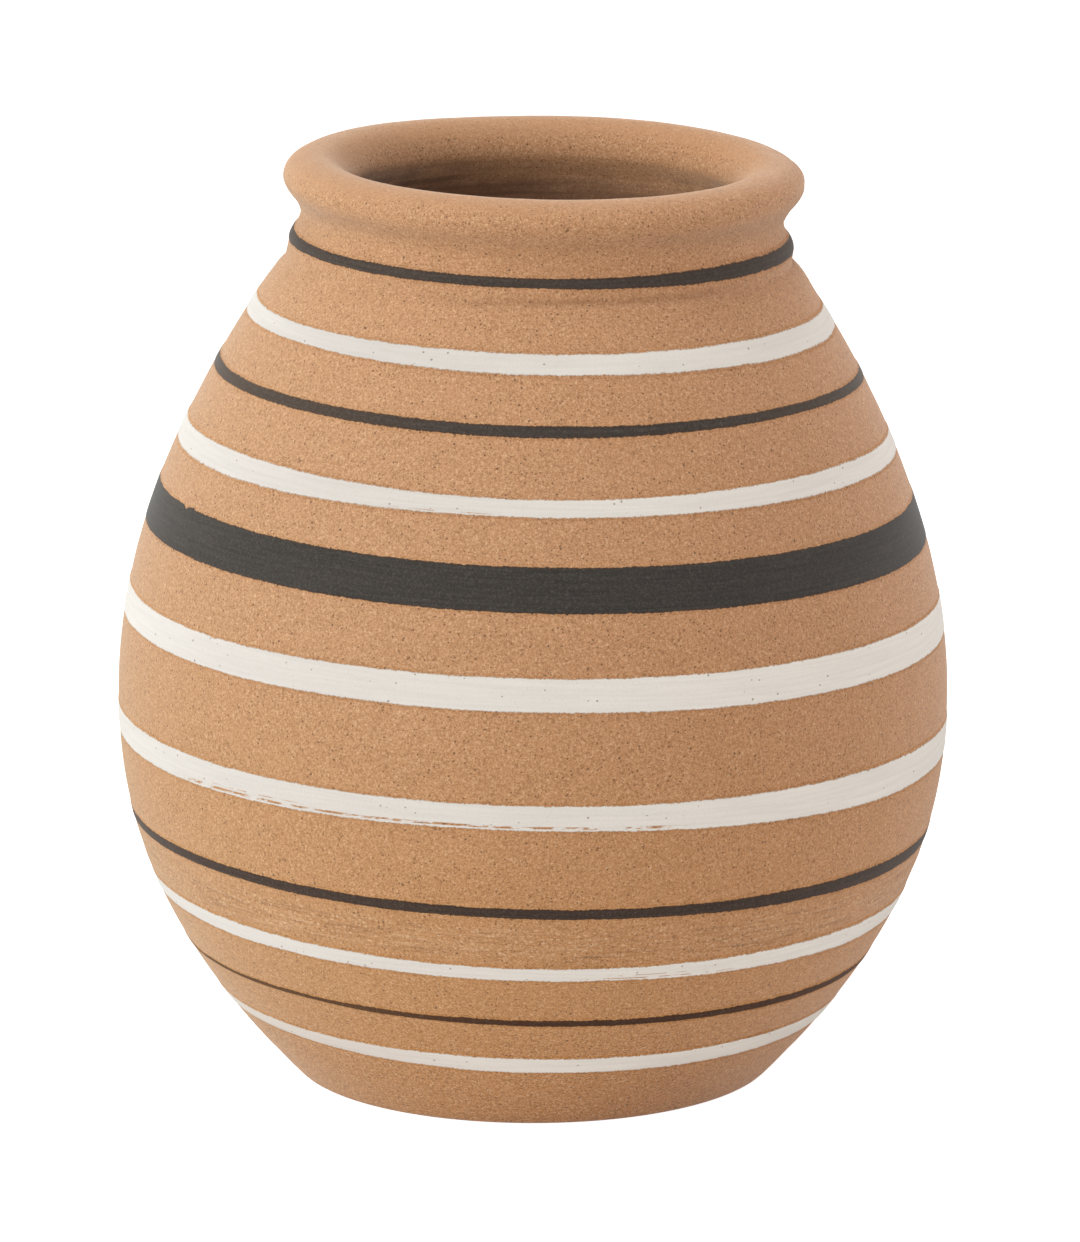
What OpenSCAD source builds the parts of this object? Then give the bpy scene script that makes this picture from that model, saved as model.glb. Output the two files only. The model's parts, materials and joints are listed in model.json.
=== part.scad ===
// Hand-thrown terracotta jar: an egg-shaped body with a flat foot, a drawn-in neck with a
// rolled lip, and eleven bands of coloured slip that were brushed on slightly out of level.
// Millimetres, +Z up, origin at the middle of the foot where the jar meets the table.

/* [Body] */
// Radius of the foot at the table
foot_radius = 57.8; // [48:0.1:68]
// Size of the rounding along the lower edge of the foot
foot_edge = 1.5; // [0.5:0.1:4]
// Angle between the table and the wall as it leaves the foot
foot_flare_angle = 46; // [38:1:65]
// Radius of the belly at its widest
belly_radius = 100.3; // [88:0.1:115]
// Height of the widest place of the belly
belly_height = 94; // [80:0.5:106]
// Thickness of the body's wall, square to its surface
wall_thickness = 8; // [5:0.1:11]
// Thickness of the floor
floor_thickness = 9; // [6:0.1:14]
// Size of the hollow curve between the floor and the wall
floor_corner = 16; // [6:0.5:24]

/* [Shoulder] */
// Height of the crease where the shoulder ends and the neck begins
seam_height = 198.5; // [180:0.1:220]
// Radius at that crease
seam_radius = 61.5; // [52:0.1:70]
// Slope of the shoulder as it reaches the crease, from level
shoulder_angle = 55; // [45:0.1:65]

/* [Neck and lip] */
// Slope of the neck as it leaves the crease, from level
neck_angle = 72; // [60:1:85]
// How far the neck draws in from the crease to its waist
neck_tuck = 3.2; // [1:0.1:6]
// Height of the waist above the crease
neck_rise = 10.8; // [7:0.1:16]
// How far the lip stands out beyond the waist
lip_overhang = 4.1; // [2:0.1:7]
// Height of the widest place of the lip above the waist
lip_rise = 8.9; // [6:0.1:14]
// Thickness of the rolled lip, from its outside to its inside
lip_width = 16; // [12:0.1:22]
// Height of the rounded top of the lip above its widest place
lip_crown = 6.5; // [4:0.1:9]

/* [Slip bands] */
// Thickness of the slip on the clay
slip_thickness = 0.3; // [0.2:0.05:0.8]
// How far the bands run out of level
band_tilt = 1.6; // [0:0.1:2.5]
// Direction of their lowest side, turned from +X as seen from above
band_low_side = -31; // [-180:1:180]
// Width of the first black band, on the neck
black_1_width = 2.7; // [1:0.1:4]
// Width of the second black band, on the shoulder
black_2_width = 2.4; // [1:0.1:5]
// Width of the third black band, the broad one above the belly
black_3_width = 10.2; // [6:0.1:14]
// Width of the fourth black band, below the belly
black_4_width = 2.9; // [1:0.1:5]
// Width of the fifth black band, the thin one near the foot
black_5_width = 2; // [1:0.1:4]
// Width of the first white band, under the crease
white_1_width = 4.2; // [2:0.1:6]
// Width of the second white band, on the shoulder
white_2_width = 4.3; // [2:0.1:7]
// Width of the third white band, above the belly
white_3_width = 7.7; // [4:0.1:11]
// Width of the fourth white band, at the belly
white_4_width = 6.2; // [3:0.1:9]
// Width of the fifth white band, below the belly
white_5_width = 3.5; // [2:0.1:6]
// Width of the sixth white band, near the foot
white_6_width = 3.7; // [2:0.1:6]

/* [Colours] */
// Colour of the fired clay
clay_colour = "#BE8E66"; // [#BE8E66:Sandy, #B5714A:Red, #D0B48C:Buff]
// Colour of the black slip
black_colour = "#4C4843"; // [#4C4843:Charcoal, #3B2A20:Brown]
// Colour of the white slip
white_colour = "#E2DACF"; // [#E2DACF:Warm white, #F0EEE8:Cool white]

/* [Hidden] */
$fn = 180;

// Faces along each long curve of the wall, and along each short curve of the neck and lip
wall_steps = 20;
neck_steps = 6;
// How hard each curve holds its direction at its ends, as shares of the height that it climbs
foot_pull_share = 0.61;
belly_below_pull_share = 0.2;
belly_above_pull_share = 0.3;
shoulder_pull_share = 0.43;
neck_pull_share = 0.25;
lip_pull_share = 0.25;
// Places of the bands, from the top down, as shares of the crease's height
black_place_shares = [1.029, 0.873, 0.702, 0.32, 0.167];
white_place_shares = [0.944, 0.792, 0.584, 0.438, 0.238, 0.103];
// Cuts run past what they cut by this much
overrun = 2;

waist_radius = seam_radius - neck_tuck;
waist_height = seam_height + neck_rise;
lip_radius = waist_radius + lip_overhang;
lip_height = waist_height + lip_rise;

// A direction in the profile's plane, turned up from level by an angle
function heading(angle) = [cos(angle), sin(angle)];

// The point of a curve with four handles at t, moved towards the jar's axis by inset
function curve_point(h, t, inset) =
    let (u = 1 - t,
         place = u * u * u * h[0] + 3 * u * u * t * h[1] + 3 * u * t * t * h[2] + t * t * t * h[3],
         slope = u * u * (h[1] - h[0]) + 2 * u * t * (h[2] - h[1]) + t * t * (h[3] - h[2]))
    place + inset * [-slope.y, slope.x] / norm(slope);

// The points of a curve after its first one, which belongs to the curve before it
function curve(handles, steps, inset = 0) =
    [for (i = [1:steps]) curve_point(handles, i / steps, inset)];

// Handles of the wall from the foot to the belly, and from the belly to the crease
foot_start = [foot_radius, 0] + foot_edge * heading(foot_flare_angle);
belly_point = [belly_radius, belly_height];
seam_point = [seam_radius, seam_height];
lower_climb = belly_height;
upper_climb = seam_height - belly_height;
lower_handles = [
    foot_start,
    foot_start + foot_pull_share * lower_climb * heading(foot_flare_angle),
    belly_point - [0, belly_below_pull_share * lower_climb],
    belly_point];
upper_handles = [
    belly_point,
    belly_point + [0, belly_above_pull_share * upper_climb],
    seam_point - shoulder_pull_share * upper_climb * heading(180 - shoulder_angle),
    seam_point];

// Handles of the neck outside, from the crease to the waist and on to the lip
waist_point = [waist_radius, waist_height];
lip_point = [lip_radius, lip_height];
neck_handles = [
    seam_point,
    seam_point + neck_pull_share * neck_rise * heading(180 - neck_angle),
    waist_point - [0, neck_pull_share * neck_rise],
    waist_point];
flank_handles = [
    waist_point,
    waist_point + [0, lip_pull_share * lip_rise],
    lip_point - [0, lip_pull_share * lip_rise],
    lip_point];

// Handles of the neck inside, from the shoulder's inner wall to the throat under the lip
shoulder_end = curve_point(upper_handles, 1, wall_thickness);
bore_point = [waist_radius - wall_thickness, waist_height];
throat_point = [lip_radius - lip_width, lip_height];
bore_climb = waist_height - shoulder_end.y;
bore_handles = [
    shoulder_end,
    shoulder_end + neck_pull_share * bore_climb * heading(180 - shoulder_angle),
    bore_point - [0, neck_pull_share * bore_climb],
    bore_point];
throat_handles = [
    bore_point,
    bore_point + [0, lip_pull_share * lip_rise],
    throat_point - [0, lip_pull_share * lip_rise],
    throat_point];

// The outside of the jar from the foot to the lip, moved inwards by inset
function outside(inset = 0) = concat(
    [curve_point(lower_handles, 0, inset)],
    curve(lower_handles, wall_steps, inset),
    curve(upper_handles, wall_steps, inset),
    curve(neck_handles, neck_steps, inset),
    curve(flank_handles, neck_steps, inset));

// The inside of the wall, from under the floor up to the throat
inside = concat(
    [curve_point(lower_handles, 0, wall_thickness)],
    curve(lower_handles, wall_steps, wall_thickness),
    curve(upper_handles, wall_steps, wall_thickness),
    curve(bore_handles, neck_steps),
    curve(throat_handles, neck_steps));

// The point of a line at a height, its own points between two heights, and both together
function point_at(line, height) = [lookup(height, [for (p = line) [p.y, p.x]]), height];
function between(line, low, high) = [for (p = line) if (p.y > low && p.y < high) p];
function stretch(line, low, high) =
    concat([point_at(line, low)], between(line, low, high), [point_at(line, high)]);
function reversed(line) = [for (i = [len(line) - 1:-1:0]) line[i]];

// The rounding of the foot's lower edge
foot_corner = [foot_radius, 0];
foot_flat_end = foot_corner - [foot_edge, 0];
foot_rounding = curve([foot_flat_end, foot_corner, foot_corner, foot_start], neck_steps);

// The hollow curve from the floor up to the wall
floor_corner_top = floor_thickness + floor_corner;
floor_edge = point_at(inside, floor_thickness);
floor_flat_end = floor_edge - [floor_corner, 0];
floor_curve_end = point_at(inside, floor_corner_top);
floor_curve = curve([
    floor_flat_end,
    (floor_flat_end + floor_edge) / 2,
    (floor_edge + floor_curve_end) / 2,
    floor_curve_end], neck_steps);

// The inner edge of the ring where the body and the neck meet, and the half ellipse of the lip
seam_inner_point = point_at(inside, seam_height);
lip_middle = [lip_radius - lip_width / 2, lip_height];
lip_roll = [for (i = [0:2 * neck_steps]) let (turn = 90 * i / neck_steps)
    lip_middle + [cos(turn) * lip_width / 2, sin(turn) * lip_crown]];

module jar_body() {
    color(clay_colour) rotate_extrude() polygon(concat(
        [[0, 0], foot_flat_end],
        foot_rounding,
        between(outside(), foot_start.y, seam_height),
        [seam_point, seam_inner_point],
        reversed(between(inside, floor_corner_top, seam_height)),
        reversed(floor_curve),
        [floor_flat_end, [0, floor_thickness]]));
}

module neck_collar() {
    color(clay_colour) rotate_extrude() polygon(concat(
        [seam_point],
        between(outside(), seam_height, lip_height),
        lip_roll,
        reversed(between(inside, seam_height, lip_height)),
        [seam_inner_point]));
}

// A skin of slip on the wall, cut by two parallel planes that lean with the brushed line
module slip_band(place_share, width, slip_colour) {
    height = place_share * seam_height;
    reach = width / 2 + belly_radius * sin(band_tilt) + overrun;
    span = 2 * (belly_radius + slip_thickness + overrun);
    color(slip_colour) intersection() {
        rotate_extrude() polygon(concat(
            stretch(outside(), height - reach, height + reach),
            reversed(stretch(outside(-slip_thickness), height - reach, height + reach))));
        translate([0, 0, height]) rotate(band_low_side) rotate([0, band_tilt, 0])
            cube([span, span, width], center = true);
    }
}

module black_band_1() slip_band(black_place_shares[0], black_1_width, black_colour);
module black_band_2() slip_band(black_place_shares[1], black_2_width, black_colour);
module black_band_3() slip_band(black_place_shares[2], black_3_width, black_colour);
module black_band_4() slip_band(black_place_shares[3], black_4_width, black_colour);
module black_band_5() slip_band(black_place_shares[4], black_5_width, black_colour);
module white_band_1() slip_band(white_place_shares[0], white_1_width, white_colour);
module white_band_2() slip_band(white_place_shares[1], white_2_width, white_colour);
module white_band_3() slip_band(white_place_shares[2], white_3_width, white_colour);
module white_band_4() slip_band(white_place_shares[3], white_4_width, white_colour);
module white_band_5() slip_band(white_place_shares[4], white_5_width, white_colour);
module white_band_6() slip_band(white_place_shares[5], white_6_width, white_colour);

jar_body();
neck_collar();
black_band_1();
black_band_2();
black_band_3();
black_band_4();
black_band_5();
white_band_1();
white_band_2();
white_band_3();
white_band_4();
white_band_5();
white_band_6();
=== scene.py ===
"""A hand-thrown terracotta jar with eleven brushed bands of slip, modelled round its frame."""

import json
import math
import random

import bmesh
import bpy
from bpy.props import (
    FloatProperty, FloatVectorProperty, IntProperty, PointerProperty, StringProperty)
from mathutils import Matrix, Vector

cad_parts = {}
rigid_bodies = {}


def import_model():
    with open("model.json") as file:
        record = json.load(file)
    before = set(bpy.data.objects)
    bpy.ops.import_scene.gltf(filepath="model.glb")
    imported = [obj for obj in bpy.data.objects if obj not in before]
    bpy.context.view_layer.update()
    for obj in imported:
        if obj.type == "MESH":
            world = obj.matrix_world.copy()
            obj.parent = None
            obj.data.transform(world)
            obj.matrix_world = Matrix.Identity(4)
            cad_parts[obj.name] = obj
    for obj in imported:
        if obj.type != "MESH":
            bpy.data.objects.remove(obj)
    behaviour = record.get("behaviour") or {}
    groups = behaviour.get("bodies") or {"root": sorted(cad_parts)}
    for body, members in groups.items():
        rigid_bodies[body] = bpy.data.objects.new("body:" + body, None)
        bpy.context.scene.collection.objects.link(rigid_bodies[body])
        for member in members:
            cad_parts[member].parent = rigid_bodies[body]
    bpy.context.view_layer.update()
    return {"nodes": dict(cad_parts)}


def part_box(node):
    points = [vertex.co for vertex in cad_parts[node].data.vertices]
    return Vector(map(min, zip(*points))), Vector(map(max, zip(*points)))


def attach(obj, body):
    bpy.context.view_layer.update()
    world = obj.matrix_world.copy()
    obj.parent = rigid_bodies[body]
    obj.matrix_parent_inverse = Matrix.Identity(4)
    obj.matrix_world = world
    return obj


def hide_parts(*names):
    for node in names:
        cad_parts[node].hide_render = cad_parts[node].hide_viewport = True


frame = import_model()

bl_info = {
    "name": "Slip-banded Terracotta Jar",
    "version": (1, 0, 0),
    "blender": (4, 5, 0),
    "location": "3D View > Sidebar > Jar",
    "description": "Throws a terracotta jar and brushes its bands of slip",
    "category": "Object",
}

MM = 0.001
BODY_LOW, BODY_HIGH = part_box("jar_body")
NECK_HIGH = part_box("neck_collar")[1]
BLACK_BANDS = [f"black_band_{i}" for i in range(1, 6)]
WHITE_BANDS = [f"white_band_{i}" for i in range(1, 7)]


# Sizes and colours


def length(name, description, default):
    return FloatProperty(name=name, description=description, default=default, unit="LENGTH")


def angle(name, description, degrees):
    return FloatProperty(
        name=name, description=description, default=math.radians(degrees), subtype="ANGLE")


def paint(name, description, default):
    return FloatVectorProperty(
        name=name, description=description, default=default, subtype="COLOR", size=3,
        min=0, max=1)


def power(name, description, default):
    return FloatProperty(
        name=name, description=description, default=default, min=0, unit="POWER")


class JarSizes(bpy.types.PropertyGroup):
    """Sizes of the thrown clay"""

    foot_radius: length("Foot Radius", "Radius of the foot at the table", 57.55 * MM)
    foot_edge: length("Foot Edge", "Rounding along the lower edge of the foot", 2.5 * MM)
    foot_hollow: length("Foot Hollow", "Hollow of the underside inside its ring", 0.7 * MM)
    foot_flare: angle("Foot Flare", "Angle of the wall from the table as it leaves the foot", 46)
    belly_radius: length("Belly Radius", "Radius of the jar at its widest", BODY_HIGH.x)
    belly_height: length("Belly Height", "Height of the widest place", 94 * MM)
    wall: length("Wall", "Thickness of the wall, square to its surface", 8 * MM)
    floor: length("Floor", "Thickness of the floor", 9 * MM)
    floor_corner: length("Floor Corner", "Hollow curve between the floor and the wall", 16 * MM)
    seam_height: length("Crease Height", "Height of the crease below the neck", BODY_HIGH.z)
    seam_radius: length("Crease Radius", "Radius at the crease below the neck", 61.5 * MM)
    shoulder_slope: angle("Shoulder Slope", "Slope of the shoulder at the crease", 55)
    neck_slope: angle("Neck Slope", "Slope of the neck as it leaves the crease", 72)
    neck_tuck: length("Neck Tuck", "How far the neck draws in to its waist", 3.7 * MM)
    neck_rise: length("Neck Rise", "Height of the waist above the crease", 10.8 * MM)
    lip_radius: length("Lip Radius", "Radius of the lip at its widest", NECK_HIGH.x)
    lip_rise: length("Lip Rise", "Height of the lip's widest place above the waist", 8.9 * MM)
    lip_width: length("Lip Width", "Thickness of the rolled lip", 16 * MM)
    lip_crown: length("Lip Crown", "Height of the lip's top above its widest place", 5.3 * MM)
    lip_drop: length("Lip Drop", "How much lower the lip ends inside than outside", 2.6 * MM)
    neck_drift: length("Neck Drift", "How far the neck sits off the foot's middle", 0.7 * MM)
    ridge_drift: length("Ridge Drift", "How much further the neck's ridge sits off it", 0.5 * MM)
    lip_drift: length("Lip Drift", "How much further the lip sits off it", 2.0 * MM)
    lip_nod: angle("Lip Nod", "How far the lip leans down towards the front", 1.35)
    lip_dip: angle("Lip Dip", "How far the lip leans down towards the right", 1.15)
    wobble: length("Wobble", "Unevenness of the hand-thrown wall", 0.3 * MM)
    turns: IntProperty(name="Turns", description="Faces round the jar", default=300, min=24)


class ClayFinish(bpy.types.PropertyGroup):
    """Colours of the fired clay, and the light and shade painted on it"""

    colour: paint("Clay", "Colour of the fired clay", (0.500, 0.251, 0.122))
    foot_colour: paint("Foot", "Warmer colour towards the foot", (0.535, 0.246, 0.082))
    # The left and right tints are painted light: a cooler light at the left, a warmer light at the
    # right
    left_light_tint: paint("Left Tint", "Share of the clay's colour at the left", (0.94, 0.99, 1.0))
    right_light_tint: paint("Right Tint", "The same share at the right", (1.0, 0.97, 0.905))
    # Painted shade at the very foot, where the jar meets the table; it is also warmer there
    foot_shade_tint: paint("Foot Tint", "The same share at the very foot", (1.0, 0.92, 0.80))
    patch_tint: paint("Patch Tint", "The same share in wide patches", (0.93, 0.93, 0.90))
    light_grog: paint("Light Grog", "Colour of the pale grains", (0.715, 0.485, 0.30))
    dark_grog: paint("Dark Grog", "Colour of the brown grains and pits", (0.155, 0.066, 0.026))
    rim_colour: paint("Rim", "Pinker colour of the wiped top of the lip", (0.49, 0.262, 0.136))
    # Colour and strength of the painted shade inside the jar, below the lip
    inside_shadow_colour: paint("Inside", "Dark colour of the clay inside", (0.10, 0.045, 0.025))
    inside_shade: FloatProperty(
        name="Inside Shade", description="Share of the inside's colour below the lip",
        default=0.70, min=0, max=1)


class SlipFinish(bpy.types.PropertyGroup):
    """Lean, thickness and colours of the brushed slip, with the shade painted on the white"""

    lean: angle("Lean", "How far the bands run out of level", 1.6)
    low_side: angle("Low Side", "Direction of their lowest side, turned from +X", -31)
    thickness: length("Thickness", "How far the slip stands proud of the clay", 0.15 * MM)
    sink: length("Sink", "How far each band's skin reaches into the clay", 0.15 * MM)
    fringe: length("Fringe", "Strip beyond each edge for its ragged line", 0.6 * MM)
    waver: length("Waver", "How far the edges of the bands waver", 0.2 * MM)
    black: paint("Black Slip", "Colour of the black slip", (0.0415, 0.0352, 0.031))
    stain: paint("Stain", "Brown of the black slip where it is thin", (0.073, 0.030, 0.014))
    black_speck: paint("Black Speck", "Paler specks in the black slip", (0.17, 0.155, 0.14))
    white: paint("White Slip", "Colour of the white slip", (0.805, 0.762, 0.718))
    # Painted shade on the white slip at the left, where the light falls strongest
    thin_white: paint("Thin White", "Share of that colour at the left", (0.78, 0.775, 0.79))
    white_speck: paint("White Speck", "Darker specks in the white slip", (0.5, 0.42, 0.33))
    # A thin painted shadow along the white slip's edges, partly clay showing through the thin edge
    white_edge_shadow: paint("White Edge", "Line of clay along the white slip", (0.30, 0.20, 0.13))
    steps: IntProperty(name="Steps", description="Faces along each band", default=1200, min=48)


class StudioLight(bpy.types.PropertyGroup):
    """Strengths of the studio's light"""

    ambient: FloatProperty(
        name="Ambient", description="Light of the white surroundings", default=0.15, min=0)
    key: power("Key", "Power of the soft lamp high at the left", 19.4)
    front: power("Front", "Power of the soft lamp low at the front left", 16.1)
    fill: power("Fill", "Power of the soft lamp higher up at the front", 14.4)
    rim: power("Rim", "Power of the soft lamp low at the right", 20.3)
    top: power("Top", "Power of the soft lamp overhead", 11.7)
    lamp_size: length("Lamp Size", "Width of each soft lamp", 1.0)
    lamp_reach: length("Lamp Reach", "How far each lamp stands from the jar", 2.0)
    floor: paint("Floor", "Colour of the floor as light falls on it", (0.7, 0.7, 0.7))
    floor_glow: FloatProperty(
        name="Floor Glow", description="How white the floor looks unlit", default=0.88, min=0,
        max=1)


# The jar's outline


WALL, NECK = ("lower", "upper"), ("neck", "flank")
# Points along each stretch of the outline
FOOT_EDGE_POINTS = 6
OUTER_POINTS = {"lower": 62, "upper": 80, "neck": 14, "flank": 12}
OUTER_ROLL_POINTS, INNER_ROLL_POINTS = 14, 16
INNER_POINTS = {"lower": 40, "upper": 46, "neck": 12, "flank": 8}
CORNER_POINTS = 12
# How far the handles at both ends of a stretch reach, as shares of its climb
LOWER_HANDLES, UPPER_HANDLES = (0.61, 0.2), (0.3, 0.43)
NECK_HANDLE, INNER_FLANK_HANDLE = 0.25, 0.2
# Each ring of the underside: share of the foot's radius, share of the hollow
UNDERSIDE_RINGS = [(0.0, 1), (0.03, 1), (0.12, 1), (0.3, 1), (0.5, 1), (0.7, 1),
                   (0.78, 0.93), (0.82, 0.55), (0.86, 0.08), (0.9, 0)]
# Each ring of the floor inside: share of its flat radius, and its height in millimetres
FLOOR_RINGS = [(0.93, 0.12), (0.86, -0.05), (0.78, 0.15), (0.7, 0.0), (0.61, 0.18), (0.52, 0.02),
               (0.42, 0.22), (0.32, 0.05), (0.22, 0.3), (0.13, 0.1), (0.06, 0.45), (0.0, 0.55)]
# Each ring that fingers left outside, in millimetres: height, how far it stands out, its spread
OUTER_RINGS = [
    (7.0, -0.10, 1.6), (50.5, -0.06, 1.8), (54.5, 0.06, 1.6), (58.5, -0.05, 1.7),
    (128.0, 0.05, 3.0), (166.0, -0.05, 2.5), (193.5, 0.16, 3.0), (198.9, -0.55, 1.3),
    (203.6, 0.60, 2.1), (213.2, -0.30, 2.0),
]
# The rings inside: gap, rise, how much of that comes and goes, and over how many rings
INNER_RING_GAP = 8.5 * MM
INNER_RING_RISE = 0.35 * MM
INNER_RING_FADE = 0.35
INNER_RING_DRIFT = 3.7


def heading(turn):
    """A direction in the profile's plane, turned up from level by an angle."""
    return Vector((math.cos(turn), math.sin(turn)))


def stretch(start, end, leaving, arriving):
    """A curve's four handles, from how it leaves its start and arrives at its end."""
    return start, start + leaving, end - arriving, end


def curve_point(handles, t, inset=0.0):
    """The point of a curve with four handles at t, moved towards the jar's axis by inset."""
    a, b, c, d = handles
    u = 1 - t
    place = u * u * u * a + 3 * u * u * t * b + 3 * u * t * t * c + t * t * t * d
    slope = (u * u * (b - a) + 2 * u * t * (c - b) + t * t * (d - c)).normalized()
    return place + inset * Vector((-slope.y, slope.x))


def follow(handles, steps, side=0.0, relief=None):
    """Points along one curve after its start, with the thrower's rings pressed into it."""
    points = []
    for i in range(1, steps + 1):
        t = i / steps
        flat = curve_point(handles, t, side)
        points.append(curve_point(handles, t, side - relief(flat.y)) if relief else flat)
    return points


def run(curves, names, steps, *more):
    """Points along some of the curves, one after another."""
    return [point for name in names for point in follow(curves[name], steps[name], *more)]


def outer_relief(height):
    """How far the rings outside stand out at a height."""
    return MM * sum(rise * math.exp(-(((height / MM - place) / spread) ** 2))
                    for place, rise, spread in OUTER_RINGS)


def inner_relief(height):
    """Rings inside the jar: a slow wave, left where the fingers pulled the wall up."""
    wave = math.sin(2 * math.pi * height / INNER_RING_GAP)
    drift = math.sin(2 * math.pi * height / (INNER_RING_DRIFT * INNER_RING_GAP))
    return -INNER_RING_RISE * (wave * (1 - INNER_RING_FADE + INNER_RING_FADE * drift))


def rolled(size, crown, drop, steps, quarter):
    """Points over one quarter turn of the lip: the outer one is 0, the inner one 1."""
    lip_height = size.seam_height + size.neck_rise + size.lip_rise
    middle = Vector((size.lip_radius - size.lip_width / 2, lip_height))
    turns = [math.pi * (quarter * steps + i) / (2 * steps) for i in range(1, steps + 1)]
    return [middle + Vector((math.cos(turn) * size.lip_width / 2, math.sin(turn) * crown - drop))
            for turn in turns]


def wall_curves(size):
    """The curves of the outside, from the foot up to the lip."""
    climb_low, climb_high = size.belly_height, size.seam_height - size.belly_height
    waist_height = size.seam_height + size.neck_rise
    up = Vector((0, 1))
    foot = Vector((size.foot_radius, 0)) + size.foot_edge * heading(size.foot_flare)
    belly = Vector((size.belly_radius, size.belly_height))
    seam = Vector((size.seam_radius, size.seam_height))
    waist = Vector((size.seam_radius - size.neck_tuck, waist_height))
    lip = Vector((size.lip_radius, waist_height + size.lip_rise))
    shoulder, root = heading(math.pi - size.shoulder_slope), heading(math.pi - size.neck_slope)
    tuck, flank = NECK_HANDLE * size.neck_rise, NECK_HANDLE * size.lip_rise * up
    return {
        "lower": stretch(foot, belly, LOWER_HANDLES[0] * climb_low * heading(size.foot_flare),
                         LOWER_HANDLES[1] * climb_low * up),
        "upper": stretch(belly, seam, UPPER_HANDLES[0] * climb_high * up,
                         UPPER_HANDLES[1] * climb_high * shoulder),
        "neck": stretch(seam, waist, tuck * root, tuck * up),
        "flank": stretch(waist, lip, flank, flank),
    }


def inner_curves(size, curves):
    """The curves inside the neck, from the end of the offset shoulder up to the throat."""
    up = Vector((0, 1))
    waist, lip = curves["flank"][0], curves["flank"][-1]
    start = curve_point(curves["upper"], 1, size.wall)
    bore = waist - Vector((size.wall, 0))
    throat = lip - Vector((size.lip_width, size.lip_drop))
    shoulder, climb = heading(math.pi - size.shoulder_slope), NECK_HANDLE * (bore.y - start.y)
    flank = INNER_FLANK_HANDLE * size.lip_rise * up
    return {"neck": stretch(start, bore, climb * shoulder, climb * up),
            "flank": stretch(bore, throat, flank, flank)}


def jar_outline(size):
    """The wall's outline, from the underside up the outside and down the inside to the floor."""
    curves = wall_curves(size)
    inner = inner_curves(size, curves)
    foot = Vector((size.foot_radius, 0))
    seam = curves["neck"][0]
    foot_flat_end = foot - Vector((size.foot_edge, 0))
    underside = [Vector((share * size.foot_radius, rise * size.foot_hollow))
                 for share, rise in UNDERSIDE_RINGS]
    rounding = follow((foot_flat_end, foot, foot, curves["lower"][0]), FOOT_EDGE_POINTS)

    outside = run(curves, WALL, OUTER_POINTS, 0.0, outer_relief)
    outside[-1] = seam + outer_relief(seam.y) * Vector((1, 0))
    outside += run(curves, NECK, OUTER_POINTS, 0.0, outer_relief)
    roll = rolled(size, size.lip_crown, 0.0, OUTER_ROLL_POINTS, 0)
    roll += rolled(size, size.lip_crown + size.lip_drop, size.lip_drop, INNER_ROLL_POINTS, 1)

    inside = run(curves, WALL, INNER_POINTS, size.wall, inner_relief)
    inside += run(inner, NECK, INNER_POINTS)[:-1]
    floor_top = size.floor + size.floor_corner
    high_wall = [point for point in inside if point.y > floor_top]
    low_wall = [point for point in inside if point.y <= floor_top]
    corner_end = low_wall[-1].lerp(high_wall[0], 0.5)
    floor_edge = Vector((min(p.x for p in low_wall if p.y > size.floor), size.floor))
    flat_end = floor_edge - Vector((size.floor_corner, 0))
    corner = follow((flat_end, (flat_end + floor_edge) / 2, (floor_edge + corner_end) / 2,
                     corner_end), CORNER_POINTS)
    floor = [Vector((share * flat_end.x, size.floor + rise * MM)) for share, rise in FLOOR_RINGS]
    return (underside + [foot_flat_end] + rounding + outside + roll + high_wall[::-1]
            + corner[::-1] + [flat_end] + floor)


# Work at the bench


SHARP_ANGLE = math.radians(35)


def take(piece):
    """Selects one piece alone and makes it the one that is worked on."""
    bpy.ops.object.select_all(action="DESELECT")
    piece.select_set(True)
    bpy.context.view_layer.objects.active = piece


def mode(name):
    bpy.ops.object.mode_set(mode=name)


def pick_none(kind="VERT"):
    bpy.ops.mesh.select_mode(type=kind)
    bpy.ops.mesh.select_all(action="DESELECT")


def face_outward():
    """Turns every face outwards and leaves edit mode."""
    bpy.ops.mesh.select_all(action="SELECT")
    bpy.ops.mesh.normals_make_consistent(inside=False)
    mode("OBJECT")


def pick(test, kind="VERT"):
    """In edit mode, selects the vertices or edges that pass a test."""
    mesh = bpy.context.edit_object.data
    pick_none(kind)
    shape = bmesh.from_edit_mesh(mesh)
    for part in shape.edges if kind == "EDGE" else shape.verts:
        if not part.hide and test(part):
            part.select_set(True)
    shape.select_flush_mode()
    bmesh.update_edit_mesh(mesh, loop_triangles=False, destructive=False)


def softly(size):
    """Lets a move take along the clay round it, less and less with distance."""
    return {"use_proportional_edit": True, "proportional_edit_falloff": "SMOOTH",
            "proportional_size": size, "use_proportional_connected": False}


def pull(value, size):
    bpy.ops.transform.translate(value=value, **softly(size))


def towards(side):
    """The level direction towards a side, in degrees from the front, positive to the right."""
    return Vector((math.sin(math.radians(side)), -math.cos(math.radians(side))))


def near(vertex, side, degrees=1.0):
    """Whether a vertex lies within some degrees of a side."""
    return vertex.co.xy.angle(towards(side)) < math.radians(degrees)


def apply_all(piece):
    """Applies every modifier of a piece, from the first to the last."""
    take(piece)
    for name in [m.name for m in piece.modifiers]:
        bpy.ops.object.modifier_apply(modifier=name)


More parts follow.
